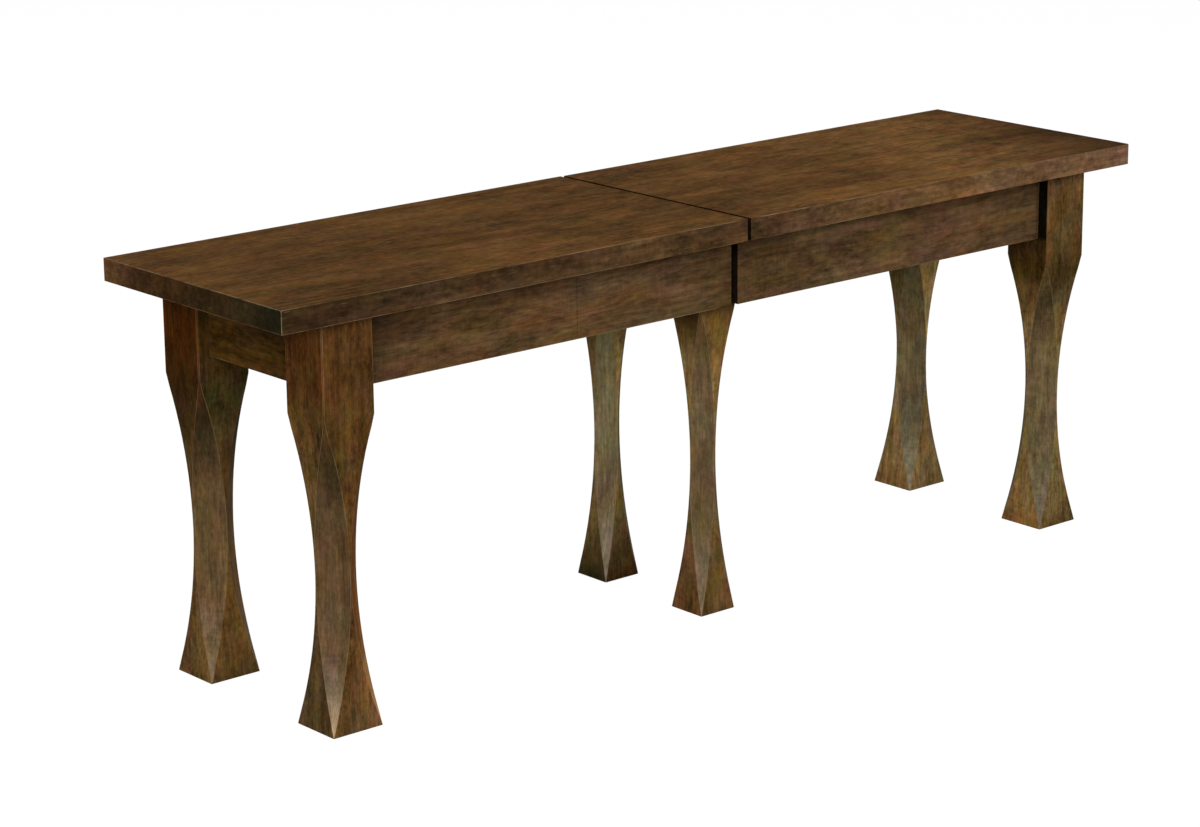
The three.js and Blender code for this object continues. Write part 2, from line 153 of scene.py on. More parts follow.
class BenchStain(bpy.types.PropertyGroup):
    """Colours of the stained maple, and how its lacquer shines."""

    seat: colour_property("Seat", "Mean colour of the two tops", (0.077, 0.0358, 0.0104))
    apron: colour_property("Aprons", "Mean colour of the aprons", (0.070, 0.0382, 0.0164))
    post: colour_property("Posts", "Straight upper part of the legs", (0.067, 0.028, 0.0070))
    upper_face: colour_property("Upper faces", "Faces of the legs below the shoulder", (0.062, 0.032, 0.0090))
    waist_face: colour_property("Waist faces", "Narrow faces of the legs at the waist", (0.110, 0.062, 0.022))
    foot_face: colour_property("Foot faces", "Flared faces of the legs at the floor", (0.104, 0.057, 0.019))
    # The facets' colours carry a painted sheen: light and grey at the floor, fading to darker below the
    # shoulder
    upper_facet: colour_property("Upper facets", "Hollow facets below the shoulder", (0.049, 0.031, 0.012))
    waist_facet: colour_property("Waist facets", "Hollow facets at the waist", (0.112, 0.071, 0.032))
    foot_facet_and_sheen: colour_property("Foot facets", "Hollow facets at the floor", (0.166, 0.117, 0.073))
    # Colour of the edges' light: stain thinned by sanding, and a painted highlight on the rounded edges
    rubbed_and_highlit: colour_property("Rubbed edges", "Where sanding thinned the stain", (0.20, 0.135, 0.075))
    seat_roughness: share_property("Seat roughness", "Roughness of the lacquer on the tops and aprons", 0.8)
    seat_sheen: share_property("Seat sheen", "Specular level of the lacquer on the tops and aprons", 0.01)
    leg_roughness: share_property("Leg roughness", "Roughness of the lacquer on the legs", 0.8)
    leg_sheen: share_property("Leg sheen", "Specular level of the lacquer on the legs", 0.008)


class BenchPlain(bpy.types.PropertyGroup):
    """Colours of the unstained wood and of the steel."""

    maple_dark: colour_property("Maple, dark", "Late wood of the unstained maple", (0.46, 0.30, 0.16))
    maple_light: colour_property("Maple, light", "Early wood of the unstained maple", (0.66, 0.48, 0.29))
    zinc: colour_property("Zinc", "Zinc plating of the bolts, nuts, screws and clips", (0.62, 0.64, 0.66))
    gear: colour_property("Gear steel", "Oiled steel of the rack and pinion", (0.30, 0.31, 0.32))


class BenchFixings(bpy.types.PropertyGroup):
    """Sizes of the screws and of the bolts' thread."""

    flat_head: length_property("Flat head", "Width of the screw heads let into the wood", 0.0084)
    flat_depth: length_property("Flat depth", "Thickness of the screw heads let into the wood", 0.0024)
    bore_clear: length_property("Bore clearance", "Room round and under a head let into the wood", 0.0002)
    pan_head: length_property("Pan head", "Width of the screw heads that hold the clips", 0.0072)
    pan_height: length_property("Pan height", "Height of the screw heads that hold the clips", 0.0023)
    recess: length_property("Recess", "Length of the cross in a screw head", 0.0044)
    bolt: length_property("Bolt", "Diameter of the hanger bolts over the thread", 0.008)
    thread_depth: length_property("Thread depth", "Depth of the bolts' thread", 0.0006)
    pitch: length_property("Pitch", "Distance from one turn of the thread to the next", 0.00125)


class BenchStage(bpy.types.PropertyGroup):
    """Camera, lamps and floor."""

    place: FloatVectorProperty(
        name="Camera", description="Where the camera stands", default=(-2.43576, -2.75888, 1.22778),
        size=3, unit="LENGTH", subtype="TRANSLATION",
    )
    heading: number_property("Heading", "Turn of the camera from +Y towards +X", 0.70680, "ROTATION")
    pitch: number_property("Pitch", "Tilt of the camera above the horizon", -0.27007, "ROTATION")
    roll: number_property("Roll", "Turn of the camera about its view", 0.00909, "ROTATION")
    lens: number_property("Lens", "Focal length", 101.9, "CAMERA")
    floor: length_property("Floor", "Width of the floor", 60.0)
    ambient: share_property("Ambient", "Level of the light from all round", 0.22)
    fill: number_property("Fill lamp", "Soft lamp beside the camera", 130.0, "POWER")
    key: number_property("Key lamp", "Soft lamp high in front", 70.0, "POWER")
    top: number_property("Top lamp", "Soft lamp over the seat", 24.0, "POWER")
    side: number_property("Side lamp", "Soft lamp to the right", 20.0, "POWER")
    back: number_property("Back lamp", "Soft lamp behind the bench", 60.0, "POWER")


# Tools for modelling


def set_mode(mode):
    bpy.ops.object.mode_set(mode=mode)


def activate(piece):
    """Leaves one piece selected and active."""
    if bpy.context.object and bpy.context.object.mode != "OBJECT":
        set_mode("OBJECT")
    bpy.ops.object.select_all(action="DESELECT")
    piece.select_set(True)
    bpy.context.view_layer.objects.active = piece


def edit_all():
    """Goes into edit mode with everything selected."""
    set_mode("EDIT")
    bpy.ops.mesh.select_all(action="SELECT")


def select_parts(piece, kind, chosen):
    """Goes into edit mode with those edges or faces selected that a test picks."""
    activate(piece)
    set_mode("EDIT")
    bpy.ops.mesh.select_mode(type=kind)
    bpy.ops.mesh.select_all(action="DESELECT")
    set_mode("OBJECT")
    for part in piece.data.edges if kind == "EDGE" else piece.data.polygons:
        part.select = chosen(part)
    set_mode("EDIT")


def copy_of(node, name):
    """A new piece with a CAD node's mesh, its loose triangles merged into whole faces."""
    piece = bpy.data.objects.new(name, NODES[node].data.copy())
    piece.data.name = name
    piece.data.materials.clear()
    bpy.context.scene.collection.objects.link(piece)
    activate(piece)
    edit_all()
    bpy.ops.mesh.customdata_custom_splitnormals_clear()
    bpy.ops.mesh.remove_doubles(threshold=MERGE_DISTANCE)
    bpy.ops.mesh.dissolve_limited(angle_limit=FLAT_ANGLE)
    bpy.ops.mesh.mark_sharp(clear=True)
    set_mode("OBJECT")
    return piece


def apply_modifier(piece, kind, **settings):
    """Adds one modifier to a piece and applies it."""
    activate(piece)
    bpy.ops.object.modifier_add(type=kind)
    modifier = piece.modifiers[-1]
    for name, value in settings.items():
        setattr(modifier, name, value)
    bpy.ops.object.modifier_apply(modifier=modifier.name)


def ease(piece, radius, segments=3):
    """Rounds the edges of a piece, tags the rounded faces and keeps its flat faces flat to the eye."""
    while len(piece.data.materials) <= ARRIS_TAG:
        piece.data.materials.append(bpy.data.materials.new("Tag"))
    apply_modifier(
        piece, "BEVEL", width=radius, segments=segments, limit_method="ANGLE", angle_limit=EDGE_ANGLE,
        use_clamp_overlap=True, loop_slide=True, material=ARRIS_TAG,
    )
    eased = piece.data.attributes.new(ARRIS, "FLOAT", "FACE")
    for face in piece.data.polygons:
        eased.data[face.index].value = float(face.material_index == ARRIS_TAG)
        face.material_index = 0
    for tag in set(piece.data.materials):
        piece.data.materials.clear()
        bpy.data.materials.remove(tag)
    smooth(piece)


def smooth(piece):
    """Smooth shading that lets the large faces set the normals."""
    activate(piece)
    bpy.ops.object.shade_smooth()
    apply_modifier(piece, "WEIGHTED_NORMAL", mode="FACE_AREA", weight=WEIGHT_OF_LARGE, keep_sharp=True)


def sharpen_level(piece, height):
    """Keeps the edges at one height crisp."""
    def is_level(edge):
        return all(abs(piece.data.vertices[corner].co.z - height) < LEVEL_REACH for corner in edge.vertices)

    select_parts(piece, "EDGE", is_level)
    bpy.ops.mesh.mark_sharp()
    set_mode("OBJECT")


def primitive(kind, name, **settings):
    """Adds one primitive with nothing else selected."""
    bpy.ops.object.select_all(action="DESELECT")
    getattr(bpy.ops.mesh, f"primitive_{kind}_add")(**settings)
    piece = bpy.context.object
    piece.name = piece.data.name = name
    bpy.ops.object.transform_apply(location=True, rotation=True, scale=True)
    return piece


def cut(piece, cutter):
    """Takes one piece out of another, and deletes it."""
    apply_modifier(piece, "BOOLEAN", operation="DIFFERENCE", object=cutter, solver="EXACT")
    bpy.data.meshes.remove(cutter.data)


def copies_of(master, name, places):
    """One new piece made of copies of another's mesh, each at its own place."""
    parts = [bpy.data.objects.new(name, master.data.copy()) for _ in places]
    for part, place in zip(parts, places):
        part.data.transform(place)
        bpy.context.scene.collection.objects.link(part)
    activate(parts[0])
    for part in parts:
        part.select_set(True)
    if len(parts) > 1:
        bpy.ops.object.join()
    parts[0].name = parts[0].data.name = name
    return parts[0]


def give_material(piece, material):
    piece.data.materials.clear()
    piece.data.materials.append(material)


def settle(piece, node, material, stands_for=True):
    """Gives a finished piece its material and its body, and hides the CAD node it stands for."""
    give_material(piece, material)
    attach(piece, NODES[node]["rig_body"])
    if stands_for:
        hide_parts(node)


# Tools for screws and bolts


def box_of(node):
    """The lowest and the highest corner of a CAD node's box."""
    return [Vector(corner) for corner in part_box(node)]


def face_middle(node, facing):
    """Middle of the face of a CAD node that lies furthest in a direction."""
    corners = [corner.co for corner in NODES[node].data.vertices]
    furthest = max(corner.dot(facing) for corner in corners)
    rim = [corner for corner in corners if corner.dot(facing) > furthest - LEVEL_REACH]
    return (Vector(map(min, zip(*rim))) + Vector(map(max, zip(*rim)))) / 2


def inward(node):
    """The level direction to the middle of the bench from the corner in a CAD node's name."""
    hand, *_, face = node.split("_")
    return Vector((1 if hand == "left" else -1, 1 if face == "front" else -1, 0)).normalized()


def screw_place(middle, facing, along, up, turn):
    """A matrix whose Z axis points out of a face, at a place along and up the face from its middle."""
    level = Vector((1, 0, 0)) if abs(facing.z) > 0.5 else ALONG_Z.cross(facing)
    upward = facing.cross(level)
    axes = Matrix((level, upward, facing)).transposed().to_4x4()
    return Matrix.Translation(middle + level * along + upward * up) @ axes @ Matrix.Rotation(turn, 4, "Z")


def screw_places(node):
    """Where screws are let into an unstained piece."""
    facing = -ALONG_Z
    if node == "bearer":
        spots = [(along, up) for along in (-RAIL_SCREW, RAIL_SCREW) for up in (-RAIL_Y, RAIL_Y)]
    elif "runner" in node:
        side = -1 if node.startswith("left") else 1
        spots = [(side * along, 0.0) for along in RUNNER_SCREWS]
    elif "block" in node:
        facing = inward(node)
        spots = [(along, up) for along in (-BLOCK_SCREW, BLOCK_SCREW) for up in (-BLOCK_RISE, BLOCK_RISE)]
    else:
        return []
    middle = face_middle(node, facing)
    return [screw_place(middle, facing, *spot, SCREW_TURN * number) for number, spot in enumerate(spots)]


def clip_place(node):
    """Where a clip's screw holds it under the top."""
    low, high = box_of(node)
    middle = (low + high) / 2
    axis = 0 if node.endswith("end") else 1
    side = 1 if middle[axis] > 0 else -1
    inner = low[axis] if side > 0 else high[axis]
    middle[axis] = inner + side * CLIP_SCREW
    middle.z = high.z - CLIP_THICKNESS
    return screw_place(middle, -ALONG_Z, 0.0, 0.0, SCREW_TURN * len(node) * side)


def screw_bores(piece, places):
    """Lets the heads of screws into a piece."""
    sizes = bpy.context.scene.bench_fixings
    radius = sizes.flat_head / 2 + sizes.bore_clear
    depth = sizes.flat_depth + 2 * sizes.bore_clear
    for place in places:
        bore = primitive("cylinder", "Bore", vertices=HEAD_SIDES, radius=radius, depth=2 * depth)
        bore.data.transform(place)
        cut(piece, bore)
    if places:
        smooth(piece)


def screw_head(name, width, height, crown):
    """A screw head that stands on the XY plane, its rim rounded by a share and a cross let into its top."""
    middle = (0, 0, height / 2)
    head = primitive("cylinder", name, vertices=HEAD_SIDES, radius=width / 2, depth=height, location=middle)
    select_parts(head, "FACE", lambda face: face.normal.z > UP_OR_DOWN)
    bpy.ops.mesh.bevel(offset=height * crown, segments=3, affect="EDGES")
    set_mode("OBJECT")
    length = bpy.context.scene.bench_fixings.recess
    depth = 2 * height * RECESS_DEPTH
    for size in ((length, length * RECESS_SHARE), (length * RECESS_SHARE, length)):
        arm = primitive("cube", "Recess", size=1.0, location=(0, 0, height), scale=(*size, depth))
        select_parts(arm, "FACE", lambda face: face.normal.z < -UP_OR_DOWN)
        bpy.ops.transform.resize(value=(RECESS_TAPER, RECESS_TAPER, 1.0))
        set_mode("OBJECT")
        cut(head, arm)
    smooth(head)
    return head


def threaded_rod(name, length):
    """A rod along Z with its middle at the origin, ringed by the ridges of its thread."""
    sizes = bpy.context.scene.bench_fixings
    root = sizes.bolt / 2 - sizes.thread_depth
    ratio = sizes.bolt / 2 / root
    turns = int(length / sizes.pitch)
    step = length / turns / 2
    start = (0, 0, -length / 2)
    rod = primitive("circle", name, vertices=ROD_SIDES, radius=root, fill_type="NGON", location=start)
    edit_all()
    for number in range(2 * turns):
        bpy.ops.mesh.extrude_region_move(TRANSFORM_OT_translate={"value": (0, 0, step)})
        share = ratio if number % 2 == 0 else 1 / ratio
        bpy.ops.transform.resize(value=(share, share, 1.0))
    bpy.ops.mesh.select_all(action="SELECT")
    bpy.ops.mesh.normals_make_consistent(inside=False)
    set_mode("OBJECT")
    return rod


def rod_place(node):
    """The length of a bolt, and the matrix that lays a rod along Z into it."""
    low, high = box_of(node)
    size = high - low
    middle = Matrix.Translation((low + high) / 2)
    if node.startswith("middle"):
        return size.z, middle
    turn = inward(node).to_track_quat("Z", "Y").to_matrix().to_4x4()
    return size.x * 2 ** 0.5 - bpy.context.scene.bench_fixings.bolt, middle @ turn


# Tools for materials


def join(tree, source, socket):
    """Links a socket to another, or sets its value."""
    if isinstance(source, bpy.types.NodeSocket):
        tree.links.new(source, socket)
    elif source is not None:
        socket.default_value = (*source, 1.0) if socket.type == "RGBA" and len(source) == 3 else source


def join_inputs(tree, node, **inputs):
    """Joins a node's inputs by name. Underscores in the names stand for spaces."""
    for name, value in inputs.items():
        join(tree, value, node.inputs[name.replace("_", " ")])


def add(tree, kind, result=0, settings=(), **inputs):
    """Adds one shader node and returns one of its outputs."""
    node = tree.nodes.new(f"ShaderNode{kind}")
    for name, value in dict(settings).items():
        setattr(node, name, value)
    join_inputs(tree, node, **inputs)
    return node.outputs[result]


def add_in_order(tree, kind, *sources, **settings):
    """Adds one shader node, joins its inputs in their order and returns its outputs."""
    node = tree.nodes.new(f"ShaderNode{kind}")
    for name, value in settings.items():
        setattr(node, name, value)
    for socket, source in zip(node.inputs, sources):
        join(tree, source, socket)
    return node.outputs


def maths(tree, operation, *values):
    return add_in_order(tree, "Math", *values, operation=operation)[0]


def vector_maths(tree, operation, *values, result=0):
    return add_in_order(tree, "VectorMath", *values, operation=operation)[result]


def parts_of(tree, vector):
    """X, Y and Z of a vector."""
    return add_in_order(tree, "SeparateXYZ", vector)


def times(tree, level, *others):
    """Product of levels."""
    for other in others:
        level = maths(tree, "MULTIPLY", level, other)
    return level


def about(tree, signal, centre, weight, base=1.0):
    """How far a signal lies from its centre, weighted and added to a base."""
    return maths(tree, "MULTIPLY_ADD", maths(tree, "SUBTRACT", signal, centre), weight, base)


def about_one(tree, *parts):
    """One plus the sum of signals that lie about a half, each with its weight."""
    total = 1.0
    for signal, weight in parts:
        total = about(tree, signal, 0.5, weight, total)
    return total


def lowered(tree, level, share):
    """One, lowered by a share where a level is full."""
    return maths(tree, "MULTIPLY_ADD", level, -share, 1.0)


def spread(tree, value, low, high, to_low=0.0, to_high=1.0):
    """Maps the range low to high onto another range, with soft ends."""
    ends = {"From_Min": low, "From_Max": high, "To_Min": to_low, "To_Max": to_high}
    return add(tree, "MapRange", 0, {"interpolation_type": "SMOOTHSTEP"}, Value=value, **ends)


def mask(tree, name, value, *levels):
    """One of the named masks. Its levels are given, unless the table has them."""
    return spread(tree, value, *MASKS[name], *levels)


def graded(tree, value, stops):
    """Colour or grey that changes along a measure, through stops of place and colour."""
    low, high = stops[0][0], stops[-1][0]
    ramp = tree.nodes.new("ShaderNodeValToRGB")
    elements = ramp.color_ramp.elements
    while len(elements) < len(stops):
        elements.new(1.0)
    for element, (place, colour) in zip(elements, stops):
        element.position = (place - low) / (high - low)
        element.color = (*colour, 1.0) if isinstance(colour, (tuple, list)) else (colour, colour, colour, 1.0)
    join(tree, add(tree, "MapRange", Value=value, From_Min=low, From_Max=high), ramp.inputs["Fac"])
    return ramp.outputs["Color"]


def shade(tree, colour, *levels):
    """A colour made lighter or darker by one or more levels."""
    for level in levels:
        colour = vector_maths(tree, "SCALE", colour, None, None, level)
    return colour


def mix(tree, share, first, second, blend="MIX"):
    """Mixes two colours. Their sockets come after the pairs for numbers and vectors."""
    node = tree.nodes.new("ShaderNodeMix")
    node.data_type = "RGBA"
    node.blend_type = blend
    for socket, source in zip((node.inputs["Factor"], *node.inputs[6:8]), (share, first, second)):
        join(tree, source, socket)
    return node.outputs[2]


def tint(tree, colour, hue, share=1.0):
    """A colour multiplied by a hue, wholly or by a share."""
    return mix(tree, share, colour, hue, "MULTIPLY")


def noise(tree, vector, name):
    """One of the named noises, its grains stretched along X."""
    along, across, *looks = NOISES[name]
    placed = add(tree, "Mapping", Vector=vector, Scale=(along, across, across))
    looks = dict(zip(("Detail", "Roughness", "Distortion"), looks))
    return add(tree, "TexNoise", "Fac", Vector=placed, Scale=1.0, **looks)


def new_group(name, levels, outputs):
    """An empty node group that takes a vector and levels: its tree, its inputs and its outputs by name."""
    tree = bpy.data.node_groups.new(name, "ShaderNodeTree")
    tree.interface.new_socket(name="Vector", in_out="INPUT", socket_type="NodeSocketVector")
    for label, level in levels.items():
        socket = tree.interface.new_socket(name=label, in_out="INPUT", socket_type="NodeSocketFloat")
        socket.default_value = level
    for label, kind in outputs.items():
        tree.interface.new_socket(name=label, in_out="OUTPUT", socket_type=f"NodeSocket{kind}")
    return tree, tree.nodes.new("NodeGroupInput").outputs, tree.nodes.new("NodeGroupOutput").inputs


def build_maple_grain():
    """Grain of maple whose fibres run along X: its tone about one, and the height of its pores."""
    tree, given, out = new_group(
        "Maple grain", {"Fibres": 1.0, "Figure": 0.2, "Curl": 1.0}, {"Tone": "Float", "Height": "Float"}
    )
    place = given["Vector"]
    fine, middle, broad = (noise(tree, place, f"{size} fibres") for size in ("fine", "middle", "broad"))
    fibres = about_one(tree, *zip((fine, middle, broad), FIBRE_WEIGHTS))
    fibres = about(tree, fibres, 1.0, given["Fibres"])

    aside = about(tree, noise(tree, place, "sway"), 0.5, SWAY, 0.0)
    bowed = vector_maths(tree, "ADD", place, add(tree, "CombineXYZ", Y=aside, Z=aside))
    shape = {"wave_type": "RINGS", "rings_direction": "X"}
    rings = add(tree, "TexWave", "Fac", shape, Vector=bowed, **YEAR_RINGS)
    curled = mask(tree, "curled", noise(tree, place, "curled parts"))
    curl = times(tree, curled, given["Curl"])
    figure = about_one(tree, (rings, given["Figure"]), (noise(tree, place, "ripple"), curl))

    pores = mask(tree, "pores", noise(tree, place, "pores"))
    join(tree, times(tree, fibres, figure, lowered(tree, pores, PORE_SHADE)), out["Tone"])
    join(tree, maths(tree, "SUBTRACT", times(tree, fine, FIBRE_RISE), pores), out["Height"])


def build_stain_patches():
    """Uneven stain: how deep it went, about one, and the hue in which it dried."""
    tree, given, out = new_group(
        "Stain patches", {"Size": 1.0, "Unevenness": 1.0, "Hues": 1.0}, {"Tone": "Float", "Hue": "Color"}
    )
    inverse = maths(tree, "DIVIDE", 1.0, given["Size"])
    place = vector_maths(tree, "SCALE", given["Vector"], None, None, inverse)
    patches = [noise(tree, place, f"{size} patches") for size in ("wide", "middle", "small")]
    depth = about_one(tree, *zip(patches, PATCH_WEIGHTS))
    join(tree, about(tree, depth, 1.0, given["Unevenness"]), out["Tone"])
    shares = []
    for name, offset, share in HUE_PATCHES:
        dried = noise(tree, vector_maths(tree, "ADD", place, offset), name)
        shares.append(about(tree, dried, 0.5, times(tree, given["Hues"], share), 0.0))
    red, blue = (maths(tree, "ADD", 1.0, share) for share in shares)
    green = maths(tree, "MULTIPLY_ADD", shares[0], GREEN_BY_RED, 1.0)
    join(tree, add_in_order(tree, "CombineXYZ", red, green, blue)[0], out["Hue"])


def build_rubbed_and_highlit_arris():
    """Worn stain and painted highlight on the eased edges, and less beside them by a small reach."""
    tree, given, out = new_group("Rubbed arris", {"Reach": 0.001}, {"Eased": "Float", "Beside": "Float"})
    eased = add(tree, "Attribute", "Fac", settings={"attribute_name": ARRIS})
    rounded = add(tree, "Bevel", settings={"samples": EDGE_SAMPLES}, Radius=given["Reach"])
    flat = add(tree, "NewGeometry", "Normal")
    turn = maths(tree, "SUBTRACT", 1.0, vector_maths(tree, "DOT_PRODUCT", rounded, flat, result="Value"))
    worn = mask(tree, "worn", noise(tree, given["Vector"], "rubbed parts"))
    join(tree, times(tree, eased, worn), out["Eased"])
    join(tree, times(tree, mask(tree, "beside an edge", turn), worn), out["Beside"])


SHARED_GROUPS = {
    "Maple grain": build_maple_grain,
    "Stain patches": build_stain_patches,
    "Rubbed arris": build_rubbed_and_highlit_arris,
}


def use_group(tree, name, **inputs):
    """Places a shared node group, which its first use builds, and returns its outputs."""
    if name not in bpy.data.node_groups:
        SHARED_GROUPS[name]()
    node = tree.nodes.new("ShaderNodeGroup")
    node.node_tree = bpy.data.node_groups[name]
    join_inputs(tree, node, **inputs)
    return node.outputs


def new_material(name):
    """An empty material: itself, its tree and its principled shader."""
    material = bpy.data.materials.new(name)
    material.use_nodes = True
    tree = material.node_tree
    return material, tree, tree.nodes["Principled BSDF"]


def cut_from_log(kind, *numbers):
    """Where in the log the grain of a piece starts, by its numbers among its kind."""
    start, *steps = (Vector(place) for place in LOGS[kind])
    return sum((step * number for step, number in zip(steps, numbers)), start)


def board_space(tree, turn, shift):
    """Object coordinates turned and shifted so that the fibres run along X."""
    spot = add(tree, "TexCoord", "Object")
    return add(tree, "Mapping", Vector=spot, Rotation=turn, Location=shift)


def board_faces(tree, turn):
    """Masks of a board's ends and of its long edges. The fibres run along X, once the normal is turned."""
    normal = add(tree, "TexCoord", "Normal")
    turned = add(tree, "Mapping", settings={"vector_type": "NORMAL"}, Vector=normal, Rotation=turn)
    return [mask(tree, "facing", maths(tree, "ABSOLUTE", part)) for part in parts_of(tree, turned)[:2]]


def finish_wood(tree, shader, colour, grain, roughness, sheen, bump):
    """Joins colour, roughness and bump of a wood to its shader."""
    raised = add(tree, "Bump", Height=grain["Height"], Strength=bump, Distance=BUMP_DISTANCE)
    rough = about(tree, grain["Tone"], 1.0, -ROUGHER_BY_DARK, roughness)
    join_inputs(tree, shader, Base_Color=colour, Roughness=rough, Normal=raised, Specular_IOR_Level=sheen)


def top_levels(tree, long_edges, spot, place):
    """Levels along a top's face, near and far parts and long edges: stain, and painted sheen to the right."""
    along, across = spot["X"], spot["Y"]
    edge = tint(tree, graded(tree, along, EDGE_ALONG), EDGE_HUE)
    edge = shade(tree, edge, about_one(tree, (noise(tree, place, "edge blotches"), EDGE_BLOTCHES)))
    face = graded(tree, along, TOP_ALONG)
    near = spread(tree, across, -SEAT_HALF_DEPTH, -NEAR_BAND, 1.0, 0.0)
    far = spread(tree, across, FAR_START, FAR_BAND)
    for share, stops in ((near, NEAR_ALONG), (far, FAR_ALONG)):
        face = tint(tree, face, graded(tree, along, stops), share)
    return mix(tree, long_edges, face, edge)


def stained_board(name, kind, shift, base, ends, seam=None):
    """Stained maple board with its fibres along one axis, its tone set by levels over its faces."""
    scene = bpy.context.scene
    stain, look = scene.bench_stain, BOARD_LOOKS[kind]
    material, tree, shader = new_material(name)
    turn = GRAIN_TURNS[look["axis"]]
    place = board_space(tree, turn, shift)
    end_grain, long_edges = board_faces(tree, turn)
    spot = parts_of(tree, add(tree, "TexCoord", "Object"))
    along = spot["X"]
    grain = use_group(tree, "Maple grain", Vector=place, Fibres=look["fibres"], **BOARD_GRAIN)
    clouds = vector_maths(tree, "MULTIPLY", place, (look["cloud"], 1.0, 1.0))
    patches = use_group(tree, "Stain patches", Vector=clouds, Unevenness=look["uneven"], Hues=look["hues"])
    colour = shade(tree, tint(tree, base, patches["Hue"]), grain["Tone"], patches["Tone"])

    if kind == "top":
        levels = top_levels(tree, long_edges, spot, place)
    else:
        levels = graded(tree, spot[look["axis"]], look["run"])
        # Painted shadow under the top's overhang: the aprons darken towards their top edge
        levels = tint(tree, graded(tree, spot["Z"], APRON_SHADOW_UPWARD), levels)
    colour = tint(tree, colour, levels)
    colour = tint(tree, colour, tint(tree, graded(tree, spot["Y"], ends), END_HUE), end_grain)

    # Light on the edges: worn stain and a painted highlight; the scratches are worn stain alone
    rubbed_and_highlit = use_group(tree, "Rubbed arris", Vector=place, Reach=scene.bench_arrises.reach)
    light = maths(tree, "MAXIMUM", rubbed_and_highlit["Eased"], times(tree, rubbed_and_highlit["Beside"], look["beside"]))
    scratched = add(tree, "Mapping", Vector=place, Rotation=(0, 0, SCRATCH_TURN))
    scratches = mask(tree, "scratches", noise(tree, scratched, "scratches"), 0.0, look["scratches"])
    light = maths(tree, "MAXIMUM", light, scratches)
    if kind == "top":
        # Along the top the edges' worn stain and painted highlight fade towards the right
        light = times(tree, light, graded(tree, along, TOP_WEAR_AND_HIGHLIGHT))
    if kind != "end apron":
        out_from_middle = maths(tree, "ABSOLUTE", along)
        away = spread(tree, out_from_middle, SPLIT_REACH, 2 * SPLIT_REACH)
        light = times(tree, light, away)
        # Painted shade in the gap between the two halves: their inner ends are darkened
        inside = times(tree, end_grain, lowered(tree, away, 1.0))
        # Painted shade on the aprons' ends where they meet the legs
        leg_shade = spread(tree, out_from_middle, BY_LEG - BY_LEG_FADE, BY_LEG, 1.0, look["shade_by_leg"])
        colour = shade(tree, colour, lowered(tree, inside, SPLIT_SHADE), leg_shade)
    colour = mix(tree, times(tree, light, RUBBED_AND_HIGHLIT_SHARE), colour, stain.rubbed_and_highlit)
    if seam is not None:
        beside = maths(tree, "ABSOLUTE", maths(tree, "SUBTRACT", along, seam))
        colour = shade(tree, colour, mask(tree, "seam", beside))
    finish_wood(tree, shader, colour, grain, stain.seat_roughness, stain.seat_sheen, STAINED_BUMP)
    return material


